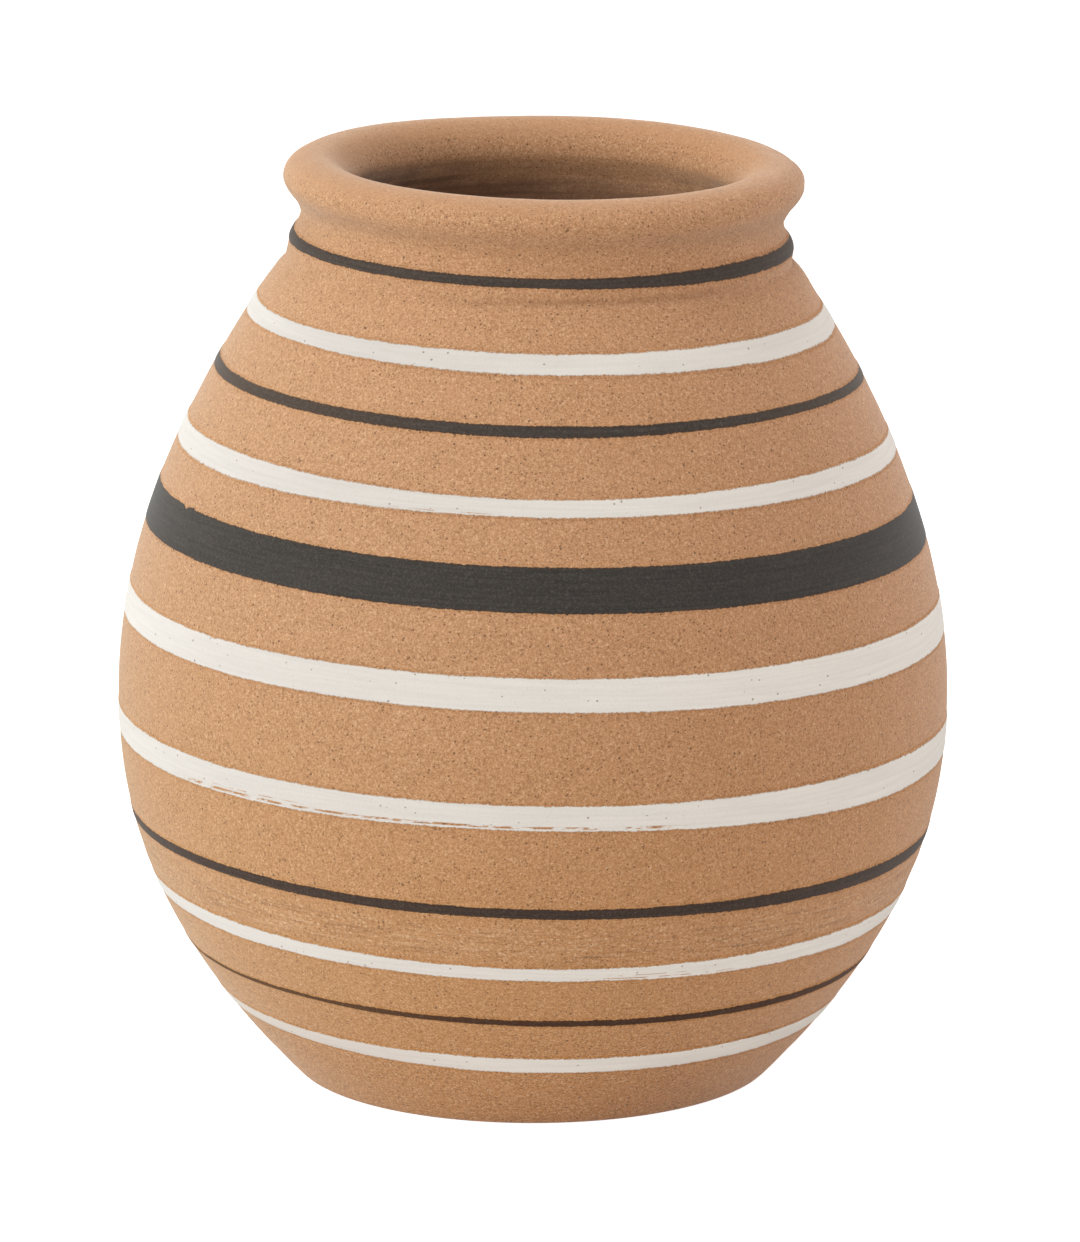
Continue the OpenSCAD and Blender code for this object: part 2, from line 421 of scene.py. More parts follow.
def displace(piece, name, size, depth, direction, group, strength):
    """Moves the vertices of a group by a soft cloud pattern, as far in as out."""
    texture = bpy.data.textures.get(name) or bpy.data.textures.new(name, "CLOUDS")
    texture.noise_scale, texture.noise_depth = size, depth
    texture.cloud_type = "GRAYSCALE" if direction == "Z" else "COLOR"
    made = piece.modifiers.new(name, "DISPLACE")
    made.texture, made.texture_coords, made.direction = texture, "LOCAL", direction
    made.vertex_group, made.strength, made.mid_level = group, strength, 0.5


def group_by(piece, name, weight):
    """A vertex group whose weight depends on each vertex's place."""
    made = piece.vertex_groups.new(name=name)
    for v in piece.data.vertices:
        share = weight(v)
        if share > 0:
            made.add([v.index], share, "REPLACE")


def smooth(low, high, value):
    """0 up to low, 1 from high, and a soft step between them."""
    t = min(1.0, max(0.0, (value - low) / (high - low)))
    return t * t * (3 - 2 * t)


def finish_piece(piece, name, node, finish):
    """Names a piece, gives it its finish, and has it stand for its CAD node."""
    take(piece)
    bpy.ops.object.transform_apply(location=True, rotation=True, scale=True)
    bpy.ops.object.shade_smooth_by_angle(angle=SHARP_ANGLE)
    piece.name = piece.data.name = name
    piece.vertex_groups.clear()
    piece.data.materials.clear()
    piece.data.materials.append(finish)
    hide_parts(node)
    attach(piece, "root")


# Node trees


class Socket:
    """One output of a node. Its operators add Math nodes."""

    def __init__(self, nodes, output):
        self.nodes, self.output = nodes, output

    def __rsub__(self, other):
        return self.nodes.maths("SUBTRACT", other, self)


def operator(operation):
    return lambda self, *others: self.nodes.maths(operation, self, *others)


for method, operation in (
        ("__add__", "ADD"), ("__sub__", "SUBTRACT"), ("__mul__", "MULTIPLY"),
        ("__gt__", "GREATER_THAN"), ("__abs__", "ABSOLUTE"), ("least", "MINIMUM"),
        ("most", "MAXIMUM")):
    setattr(Socket, method, operator(operation))


class Nodes:
    """A node tree: node() adds any node and gives back one of its outputs."""

    def __init__(self, tree):
        self.tree = tree
        tree.nodes.clear()

    def node(self, kind, sockets=None, output=0, **settings):
        made = self.tree.nodes.new("ShaderNode" + kind)
        for name, value in settings.items():
            setattr(made, name, value)
        for key, value in (sockets or {}).items():
            entry = made.inputs[key] if isinstance(key, int) else next(
                s for s in made.inputs if s.enabled and s.name == key)
            if isinstance(value, Socket):
                self.tree.links.new(value.output, entry)
            else:
                entry.default_value = (*value, 1.0) if entry.type == "RGBA" else value
        if isinstance(output, str):
            output = next(i for i, s in enumerate(made.outputs) if s.enabled and s.name == output)
        return Socket(self, made.outputs[output])

    def maths(self, operation, *values):
        return self.node("Math", dict(enumerate(values)), operation=operation)

    def end(self, kind, shader):
        """Joins a shader to the surface of the tree's output."""
        end = self.tree.nodes.new("ShaderNode" + kind)
        self.tree.links.new(shader.output, end.inputs["Surface"])

    def seen(self):
        """1 where the camera looks, straight, in a gloss or through glass, and 0 for light."""
        camera, glossy, transmission = (
            self.node("LightPath", output=f"Is {kind} Ray")
            for kind in ("Camera", "Glossy", "Transmission"))
        return camera.most(glossy).most(transmission)

    def mix(self, factor, first, second, blend="MIX"):
        """Two colours mixed by a factor."""
        return self.node("Mix", {"Factor": factor, "A": first, "B": second}, "Result",
                         data_type="RGBA", blend_type=blend)

    def step(self, value, low, high, bottom=0.0, top=1.0):
        """A soft step from bottom to top as a value passes from low to high."""
        return self.node("MapRange", {
            "Value": value, "From Min": low, "From Max": high, "To Min": bottom,
            "To Max": top}, interpolation_type="SMOOTHSTEP")

    def window(self, value, start, end, fade):
        """1 while a value lies between start and end, fading to 0 at both."""
        return self.step(value, start, start + fade) * self.step(value, end, end - fade)

    def parts(self, vector):
        """The three parts of a vector."""
        first = self.node("SeparateXYZ", {0: vector})
        return [Socket(self, output) for output in first.output.node.outputs]


# Finishes


# Soft patterns: shift in millimetres, scale per millimetre, detail, roughness
PATTERNS = {
    "patches": ((31, 7, 3), 0.14, 3, 0.5),
    "sand": ((0, 0, 0), 1.35, 3, 0.62),
    "fine sand": ((7, 19, 2), 2.7, 2, 0.6),
    "wander": ((0, 0, 0), 0.12, 2, 0.5),
    "mottle": ((2, 8, 30), 1.35, 3, 0.62),
    "ragged edge": ((0, 0, 0), 1.3, 3, 0.6),
    "slow edge": ((9, 2, 5), 0.2, 1, 0.5),
}
# Patterns drawn out round the jar: scale along the strokes, scale across them, detail, roughness
STROKES = {
    "comb": (0.06, 1.1, 3, 0.6),
    "finger": (0.035, 0.75, 3, 0.6),
    "brush": (0.045, 1.6, 3, 0.6),
    "brush wander": (0.036, 1.28, 2, 0.5),
    "dry brush": (0.22, 0.9, 4, 0.65),
}
# Grains: shift, cells per millimetre, how much their radius varies, radius where they end and
# where they are full, in cells, and the share of cells that hold none
GRAINS = {
    "fleck": ((0, 0, 0), 1.0, 0.25, 0.26, 0.05, 0.5),
    "pale": ((0, 0, 0), 1.1, 0.14, 0.2, 0.08, 0.72),
    "brown": ((13, 29, 5), 0.85, 0.10, 0.18, 0.07, 0.55),
    "pit": ((3, 17, 41), 0.42, 0.05, 0.105, 0.05, 0.55),
    "pinhole": ((5, 11, 23), 0.5, 0.07, 0.10, 0.05, 0.66),
}
# The belt that a dry brush combed: its lean to the right and the back, its two edges, its fade,
# and the stretch of its flecks
COMB_LEAN, COMB_BELT, COMB_FADE, FLECK_STRETCH = (0.0242, -0.0143), (49.5, 61.5), 3.0, (0.8, 1.3)
# Furrows round the neck, with painted shade in them: height at the middle, its slope to the right,
# half width, depth of the painted shade, relief, and from and to which side, fading over some
# degrees
SHADED_FURROWS = [(212.3, -0.028, 3.4, 0.24, 0.8, -80.0, 85.0), (198.8, 0.0, 1.5, 0.5, 1.2, -28.0, 62.0)]
FURROW_FADE = 15.0
# Looks of one side of the jar, the slip's thinning and the white's painted shade: where each
# starts and is full, and where it fades and is gone before the back, at which the degrees jump
# from 180 to -180
THIN_LEFT, THIN_RIGHT = (4, -50, -100, -175), (15, 60, 100, 175)
WHITE_SHADE_LEFT = (48, -50, -110, -170)
# Degrees over which a dry streak starts and ends
DRY_FADE = 6.0


def shade(colour, share):
    """A colour made darker or lighter."""
    return tuple(min(1.0, part * share) for part in colour)


class Finish(Nodes):
    """A procedural material."""

    def __init__(self, name):
        self.material = bpy.data.materials.new(name)
        self.material.use_nodes = True
        super().__init__(self.material.node_tree)


class JarFinish(Finish):
    """A finish that knows each place on the jar: in millimetres, and as a side in degrees."""

    def __init__(self, name):
        super().__init__(name)
        spot = self.node("TexCoord", output="Object")
        self.spot = self.node("VectorMath", {0: spot, 1: [1 / MM] * 3}, operation="MULTIPLY")
        self.right, self.back, self.height = self.parts(self.spot)
        self.side = self.maths("ARCTAN2", self.right, self.back * -1.0) * math.degrees(1)

    def shifted(self, vector, offset):
        return self.node("VectorMath", {0: vector, 1: offset}, operation="ADD")

    def noise(self, vector, scale, detail, roughness):
        return self.node("TexNoise", {
            "Vector": vector, "Scale": scale, "Detail": detail, "Roughness": roughness})

    def pattern(self, name):
        shift, scale, detail, roughness = PATTERNS[name]
        return self.noise(self.shifted(self.spot, shift), scale, detail, roughness)

    def drawn(self, height, along, across):
        """A place with its turn round the jar and its height stretched differently."""
        return self.node(
            "CombineXYZ", {0: self.right * along, 1: self.back * along, 2: height * across})

    def strokes(self, name, height):
        along, across, detail, roughness = STROKES[name]
        return self.noise(self.drawn(height, along, across), 1.0, detail, roughness)

    def grains(self, name, vector=None):
        """1 inside scattered grains, 0 round them."""
        shift, scale, spread, rim, core, rare = GRAINS[name]
        place = self.shifted(vector or self.spot, shift)
        distance = self.node("TexVoronoi", {"Vector": place, "Scale": scale}, "Distance")
        colour = Socket(self, distance.output.node.outputs["Color"])
        luck = self.node("SeparateColor", {0: colour})
        size = Socket(self, luck.output.node.outputs[1])
        return self.step(distance - size * spread, rim, core) * (luck > rare)

    def on_side(self, start, full, fading, gone):
        """1 on one side of the jar, fading towards the front and before the back."""
        return self.step(self.side, start, full) * self.step(self.side, gone, fading)

    def close(self, colour, height, depth, roughness, specular, sheen, spread):
        """Ends the material: a matte surface with its relief. spread is its diffuse roughness."""
        bump = self.node("Bump", {"Strength": 1.0, "Distance": depth, "Height": height})
        shader = self.node("BsdfPrincipled", {
            "Base Color": colour, "Roughness": roughness, "Normal": bump,
            "Specular IOR Level": specular, "Diffuse Roughness": spread,
            "Sheen Weight": sheen, "Sheen Roughness": 0.45})
        self.end("OutputMaterial", shader)
        return self.material


def clay_ground(finish, clay, patches):
    """The clay's own colour, warmer towards the foot, with soft patches: greyer on the left and
    warmer on the right as painted tints of cool and warm light, and painted shade at the very
    foot.
    """
    right, height = finish.right, finish.height
    ground = finish.mix(finish.step(height, -20.0, 150.0), clay.foot_colour, clay.colour)
    ground = finish.mix(
        finish.step(patches, 0.35, 0.7, 0.0, 0.5), ground, clay.patch_tint, "MULTIPLY")
    # Painted light: a cooler tint at the left, a warmer tint at the right
    side_light = finish.mix(finish.step(right, -85.0, 85.0), clay.left_light_tint, clay.right_light_tint)
    ground = finish.mix(1.0, ground, side_light, "MULTIPLY")
    # Painted shade at the very foot
    return finish.mix(finish.step(height, 40.0, 8.0), ground, clay.foot_shade_tint, "MULTIPLY")


def comb_clay(finish, clay, colour):
    """Combs a belt of the clay: its colour and its relief."""
    level = finish.height + finish.right * COMB_LEAN[0] + finish.back * COMB_LEAN[1]
    belt = finish.window(level, *COMB_BELT, COMB_FADE)
    comb = finish.strokes("comb", level)
    colour = finish.mix(belt * finish.step(comb, 0.47, 0.3, 0.0, 0.42), colour, clay.dark_grog)
    colour = finish.mix(belt * finish.step(comb, 0.53, 0.7, 0.0, 0.3), colour, clay.light_grog)
    fleck = finish.grains("fleck", finish.drawn(level, *FLECK_STRETCH))
    return finish.mix(belt * fleck * 0.55, colour, clay.light_grog), belt * (comb - 0.5) * 3.5


def shade_inside(finish, clay, colour, inside, patches, streaks):
    """Painted shade inside the jar below the lip: darker with depth, streaked along the finger
    marks, and darker on the left in the painted shadow of the rim.
    """
    right, height = finish.right, finish.height
    slant = height + right * 0.06 + (streaks - 0.5) * 5.0 + (patches - 0.5) * 7.0
    depth_shade = finish.step(slant, 216.5, 206.0) * finish.step(height, 165.0, 200.0, 0.25, 1.0)
    bands = finish.step(streaks, 0.62, 0.36, 0.0, 0.16)
    # Painted shadow of the rim on the left inside
    left_rim_shadow = finish.step(right, 0.0, -35.0, 1.0, 1.2)
    return finish.mix(
        inside * depth_shade * left_rim_shadow * (bands + clay.inside_shade), colour, clay.inside_shadow_colour)


def clay_look(finish, clay):
    """The colour and relief of the sandy clay, where it is combed or wiped, and the shade painted
    inside it, in its furrows and on its grains at the foot.
    """
    light, dark = clay.light_grog, clay.dark_grog
    patches, sand, fine, wander = (
        finish.pattern(name) for name in ("patches", "sand", "fine sand", "wander"))
    colour = clay_ground(finish, clay, patches)
    # Grain drawn up to 1.4 times stronger towards the foot: painted shade and light of the grains'
    # relief, seen at a grazing angle there
    grain_shading = finish.step(finish.height, 45.0, 8.0, 1.0, 1.4)
    for pattern, limit, strength, grog in (
            (sand, 0.76, 0.54, light), (sand, 0.27, 0.44, dark),
            (fine, 0.74, 0.50, light), (fine, 0.27, 0.52, dark)):
        colour = finish.mix(
            grain_shading * finish.step(pattern, 0.5, limit, 0.0, strength), colour, grog)
    colour, comb_relief = comb_clay(finish, clay, colour)
    relief = sand * 0.5 + fine * 0.25
    for name, strength, grog, rise in (
            ("pale", 0.5, light, 0.15), ("brown", 0.85, dark, -0.2),
            ("pit", 0.78, shade(dark, 0.7), -0.7)):
        grain = finish.grains(name)
        colour = finish.mix(grain * strength, colour, grog)
        relief = relief + grain * rise
    relief = relief + comb_relief

    wiped = finish.step(finish.height + (wander - 0.5) * 4.0, 219.5, 222.5)
    colour = finish.mix(wiped * 0.45, colour, clay.rim_colour)
    inside = finish.node("Attribute", output="Fac", attribute_name="inside")
    streaks = finish.strokes("finger", finish.height)
    # Painted shade inside the jar below the lip
    colour = shade_inside(finish, clay, colour, inside, patches, streaks)
    # Painted shade in the furrow round the neck's waist and in the crease below it, which also
    # sink in relief
    for middle, slope, reach, depth, sunk, start, end in SHADED_FURROWS:
        off = abs(finish.height - finish.right * slope - middle + (wander - 0.5) * reach)
        window = finish.window(finish.side, start, end, FURROW_FADE)
        furrow_with_shade = (1.0 - inside) * window * finish.step(off, reach, 0.0) * finish.step(
            streaks + patches, 0.7, 1.05, 1.0, 0.45)
        colour = finish.mix(furrow_with_shade * depth, colour, shade(dark, 1.5))
        relief = relief - furrow_with_shade * sunk
    return colour, relief


def make_clay(name, clay):
    """Bare fired clay."""
    finish = JarFinish(name)
    colour, relief = clay_look(finish, clay)
    return finish.close(colour, relief, 0.12 * MM, 0.8, 0.4, 0.22, 0.6)


def slip_cover(finish, brush, reach, rise, habit):
    """How far inside the ragged edges a place lies, and where slip covers it.

    reach is the strip's width and rise the height on it, in millimetres.
    """
    fringe = brush.fringe / MM
    ragged = (finish.pattern("ragged edge") - 0.5) * 0.8 + (
        finish.pattern("fine sand") - 0.5) * 0.25 + (finish.pattern("slow edge") - 0.5) * 0.3
    inward = rise.least(reach - rise) - fringe + ragged
    cover = finish.step(inward, -0.09, 0.09)
    for up, half, start, end in habit["dry"]:
        wander = (finish.strokes("brush wander", rise) - 0.5) * 0.9
        gap = finish.step(abs(rise - (fringe + up) + wander * 0.35), half, half * 0.35)
        broken = finish.step(finish.strokes("dry brush", finish.height), 0.44, 0.54)
        cover = cover * (1.0 - gap * broken * finish.window(finish.side, start, end, DRY_FADE))
    return inward, cover


def black_look(finish, ground, brush, lines, fine, inward):
    """The black slip's colour: mottled, and brown where it thins out towards its edges."""
    slip = finish.mix(finish.step(lines, 0.3, 0.7), shade(ground, 0.88), shade(ground, 1.22))
    slip = finish.mix(finish.step(fine, 0.5, 0.75, 0.0, 0.25), slip, brush.black_speck)
    mottle = finish.pattern("mottle")
    slip = finish.mix(finish.step(mottle, 0.5, 0.3, 0.0, 0.4), slip, shade(ground, 0.6))
    slip = finish.mix(finish.step(mottle, 0.52, 0.75, 0.0, 0.2), slip, brush.black_speck)
    return finish.mix(finish.step(inward, 0.6, 0.0, 0.0, 0.4), slip, brush.stain)


def white_look(finish, ground, brush, lines, fine, inward):
    """The white slip's colour: painted shade on the brightly lit left, and a thin dark line along
    its edges, painted shadow of the proud slip, partly clay through its thin edge.
    """
    slip = finish.mix(finish.step(lines, 0.3, 0.7), shade(ground, 0.965), shade(ground, 1.03))
    slip = finish.mix(finish.step(fine, 0.5, 0.75, 0.0, 0.2), slip, brush.white_speck)
    # Painted shade on the white at the brightly lit left
    slip = finish.mix(finish.on_side(*WHITE_SHADE_LEFT), slip, brush.thin_white, "MULTIPLY")
    # A thin painted shadow line along the edges, partly clay showing through the thin slip
    edge = finish.step(abs(inward - 0.02), 0.16, 0.04, 0.0, 0.5)
    return finish.mix(edge, slip, brush.white_edge_shadow)


def make_slip(name, ground, brush, clay, width, habit):
    """Slip brushed over the clay. width is the strip's, in metres, habit what BANDS says."""
    finish = JarFinish(name)
    bare, bare_relief = clay_look(finish, clay)
    reach = width / MM
    rise = finish.parts(finish.node("UVMap", uv_map="UVMap"))[1] * reach
    inward, cover = slip_cover(finish, brush, reach, rise, habit)
    lines, fine, hole = (
        finish.strokes("brush", rise), finish.pattern("fine sand"), finish.grains("pinhole"))
    if name.startswith("black"):
        slip = black_look(finish, ground, brush, lines, fine, inward)
        slip = finish.mix(hole * 0.6, slip, shade(ground, 0.45))
        specular, sheen, spread = 0.16, 0.18 - 0.14 * habit["stain"], 0.6
    else:
        slip = white_look(finish, ground, brush, lines, fine, inward)
        slip = finish.mix(hole * 0.62, slip, clay.dark_grog)
        specular, sheen, spread = 0.25, 0.06, 1.0
    left, front, far = habit["thin"]
    thin = finish.on_side(*THIN_LEFT) * (left - front) + finish.on_side(*THIN_RIGHT) * (
        far - front) + front
    colour = finish.mix(cover * (1.0 - thin * finish.step(lines, 0.75, 0.3, 0.5, 1.0)), bare, slip)
    relief = bare_relief * (1.0 - cover * 0.55) + lines * cover * 0.25 + cover * 0.2
    return finish.close(colour, relief, 0.10 * MM, 0.88, specular, sheen, spread)


# The pieces


# How the soft clay drifts and leans: from which height above the crease up, and how softly
DRIFTS = [("neck_drift", -8 * MM, 65 * MM), ("lip_drift", 16 * MM, 26 * MM)]
LEANS = [("lip_nod", "X", 16 * MM, 18 * MM), ("lip_dip", "Y", 4 * MM, 10 * MM)]
# Heights of the lip's start and of its middle above the crease
LIP_START, LIP_MIDDLE = 16 * MM, 19 * MM
# The ridge above the crease: its height above it, half its width, how softly it moves
RIDGE_RISE, RIDGE_HALF, RIDGE_SPREAD = 3.8 * MM, 0.9 * MM, 4 * MM
# Where the lip sags or rises a little: side in degrees from the front, rise, how far it spreads
LIP_NUDGES = [(-165.0, -0.45 * MM, 40 * MM)]
# Where a thumb pressed the neck in: side in degrees from the front, height, depth, spread
DENTS = [(101.0, 222.4 * MM, 0.7 * MM, 3.0 * MM), (88.0, 213.0 * MM, 0.45 * MM, 8 * MM)]
# How much further in than the crease the neck's outside reaches at most
NECK_INSET = 6 * MM
# Heights where the wall starts to be uneven and where it is so in full
FREE_FROM, FREE_FULL = 4 * MM, 30 * MM
# Sizes of the wall's slow and quick unevenness
WOBBLE_SIZE, RIPPLE_SIZE = 60 * MM, 14 * MM


class JAR_OT_throw_clay(bpy.types.Operator):
    """Throw the wall in one piece, let the neck settle, and part it at the crease"""

    bl_idname = "jar.throw_clay"
    bl_label = "Throw Clay"

    def execute(self, context):
        jar = context.scene.jar_sizes
        self.spin_wall(jar)
        wall = context.object
        group_by(wall, "neck", lambda v: float(v.co.z >= jar.seam_height - 0.01 * MM))
        group_by(wall, "free", lambda v: smooth(FREE_FROM, FREE_FULL, v.co.z))
        self.settle(jar)
        for name, size, group, strength in (
                ("clay_wobble", WOBBLE_SIZE, "free", jar.wobble),
                ("clay_ripple", RIPPLE_SIZE, "neck", 0.8 * jar.wobble)):
            displace(wall, name, size, 2, "RGB_TO_XYZ", group, strength)
        apply_all(wall)
        self.part(wall)
        return {"FINISHED"}

    def spin_wall(self, jar):
        """Draws the outline by extruding one vertex, and turns it round the axis."""
        outline = jar_outline(jar)
        start = outline[0]
        bpy.ops.object.select_all(action="DESELECT")
        bpy.ops.mesh.primitive_plane_add(size=MM, enter_editmode=True,
                                         location=(start.x, 0, start.y))
        bpy.ops.mesh.select_all(action="SELECT")
        bpy.ops.mesh.merge(type="CENTER")
        for before, after in zip(outline, outline[1:]):
            step = after - before
            bpy.ops.mesh.extrude_vertices_move(
                TRANSFORM_OT_translate={"value": (step.x, 0, step.y)})
        mode("OBJECT")
        bpy.ops.object.transform_apply(location=True, rotation=True, scale=True)
        lathe = bpy.context.object.modifiers.new("lathe", "SCREW")
        lathe.steps = lathe.render_steps = jar.turns
        lathe.axis, lathe.angle = "Z", 2 * math.pi
        apply_all(bpy.context.object)
        mode("EDIT")
        bpy.ops.mesh.select_all(action="SELECT")
        bpy.ops.mesh.remove_doubles(threshold=0.002 * MM)
        face_outward()

    def settle(self, jar):
        """The neck and the lip drift and lean a little, as soft clay does."""
        seam = jar.seam_height
        mode("EDIT")
        for drift, above, size in DRIFTS:
            pick(lambda v: v.co.z > seam + above)
            pull((getattr(jar, drift), 0, 0), size)
        for lean, axis, above, size in LEANS:
            pick(lambda v: v.co.z > seam + above)
            bpy.ops.transform.rotate(
                value=-getattr(jar, lean), orient_axis=axis,
                center_override=(0, 0, seam + LIP_MIDDLE), **softly(size))
        for side, rise, size in LIP_NUDGES:
            pick(lambda v: v.co.z > seam + LIP_START and near(v, side))
            pull((0, 0, rise), size)
        pick(lambda v: abs(v.co.z - seam - RIDGE_RISE) < RIDGE_HALF)
        pull((jar.ridge_drift, 0, 0), RIDGE_SPREAD)
        outer = jar.seam_radius - NECK_INSET
        for side, height, depth, size in DENTS:
            pick(lambda v: abs(v.co.z - height) < MM and v.co.xy.length > outer and near(v, side))
            pull((*(-depth * towards(side)), 0), size)
        mode("OBJECT")

    def part(self, wall):
        """Parts the wall at the crease and closes both pieces there."""
        mode("EDIT")
        pick_none()
        wall.vertex_groups.active_index = wall.vertex_groups["neck"].index
        bpy.ops.object.vertex_group_select()
        bpy.ops.mesh.separate(type="SELECTED")
        mode("OBJECT")
        neck = next(o for o in bpy.context.selected_objects if o != wall)
        for piece, node in ((wall, "jar_body"), (neck, "neck_collar")):
            take(piece)
            mode("EDIT")
            pick_none("EDGE")
            bpy.ops.mesh.select_non_manifold()
            bpy.ops.mesh.bridge_edge_loops()
            face_outward()
            self.mark_inside(piece)
            clay = bpy.data.materials["bare_clay"]
            finish_piece(piece, node + "_clay", node, clay)

    def mark_inside(self, piece):
        """Marks the faces that look towards the jar's axis, for the finish's painted shade inside.
        """
        inside = piece.data.attributes.new("inside", "FLOAT", "POINT")
        inside.data.foreach_set("value", [
            smooth(0.1, 0.5, -v.normal.xy.dot(v.co.xy.normalized()))
            for v in piece.data.vertices])


# How the brush ran on each band. top and bottom: how many millimetres each edge runs above its
# lean at the left, the front and the right. nicks: side in degrees, rise, spread. dry: height,
# half width, from and to which side. thin: share of the slip that is missing at the left, the
# front and the right. cuts: cuts along the strip. HABIT is what holds where a band says nothing.
HABIT = {"stain": 0.0, "pale": 1.0, "thin": (0.0, 0.0, 0.0), "dry": (), "nicks": (), "cuts": 8,
         "waver": 1.0, "wall": "jar_body_clay"}
BANDS = {
    "black_band_1": {"stain": 0.15, "pale": 1.18, "wall": "neck_collar_clay", "waver": 1.6,
        "top": (-0.4, -0.35, 0.6), "bottom": (0.2, 0.4, -0.3)},
    "white_band_1": {"pale": 0.95, "top": (-0.35, 0.0, 0.4), "bottom": (0.3, -0.3, -0.75)},
    "black_band_2": {"stain": 0.1, "pale": 1.05, "top": (0.05, -0.05, 0.3),
        "bottom": (0.0, -0.25, 0.8), "waver": 1.5, "thin": (0.05, 0.0, 0.05)},
    "white_band_2": {"pale": 0.98, "top": (0.7, -0.65, 0.7), "bottom": (-0.85, 0.0, 0.1),
        "dry": ((0.5, 0.16, -24.0, -4.0),)},
    "black_band_3": {"top": (0.2, -0.1, -0.05), "bottom": (0.25, -0.05, -0.4), "cuts": 16,
        "nicks": ((-65.5, -0.7, 1.7), (-63.0, 0.35, 1.5))},
    "white_band_3": {"pale": 1.03, "top": (-0.5, 0.0, 0.4), "bottom": (-0.1, 0.0, -0.6),
        "nicks": ((-49.8, -0.25, 3.0),), "cuts": 12, "waver": 1.3},
    "white_band_4": {"pale": 1.03, "top": (-0.05, 0.2, 1.05), "bottom": (-0.6, 0.5, -1.55),
        "dry": ((0.8, 0.42, -58.0, 22.0), (1.7, 0.14, -52.0, -30.0)),
        "cuts": 10, "waver": 1.5},
    "black_band_4": {"stain": 0.38, "pale": 0.93, "top": (0.0, -0.3, 0.1),
        "bottom": (0.65, 0.2, -0.8), "waver": 2.4},
    "white_band_5": {"pale": 1.07, "top": (0.95, -0.1, 0.85), "bottom": (0.25, 0.1, -0.9),
        "dry": ((0.6, 0.15, 4.0, 34.0), (1.4, 0.1, 10.0, 28.0)),
        "waver": 2.4, "thin": (0.0, 0.04, 0.02)},
    "black_band_5": {"stain": 1.0, "pale": 0.8, "top": (-0.5, 0.0, 0.1),
        "bottom": (1.3, 0.45, 0.1), "thin": (0.16, 0.0, 0.0), "waver": 2.6},
    "white_band_6": {"pale": 1.13, "top": (-0.15, 0.45, 0.75), "bottom": (0.5, -0.55, -0.4),
        "thin": (0.15, 0.04, 0.04), "waver": 1.6},
}
# How far outside the frame's band its strip starts, before it is laid on the wall
STRIP_GAP = 1.5 * MM
# Degrees between the places where an edge is moved, how near to one a vertex moves with it, and
# how many millimetres an edge wanders at the back
GUIDE_GAP, GUIDE_WIDTH, BACK_WANDER = 60, 0.2, 0.25
# How much of its climb an upright edge of the strip may lean
UPRIGHT = 0.6
# Sizes of the waver along the two edges
WAVER_SIZES = (("top", 11 * MM), ("bottom", 17 * MM))
# The skin thins out along its edges: over which distance, and to what share
SKIN_RAMP, SKIN_SHARE = 0.9 * MM, 0.1


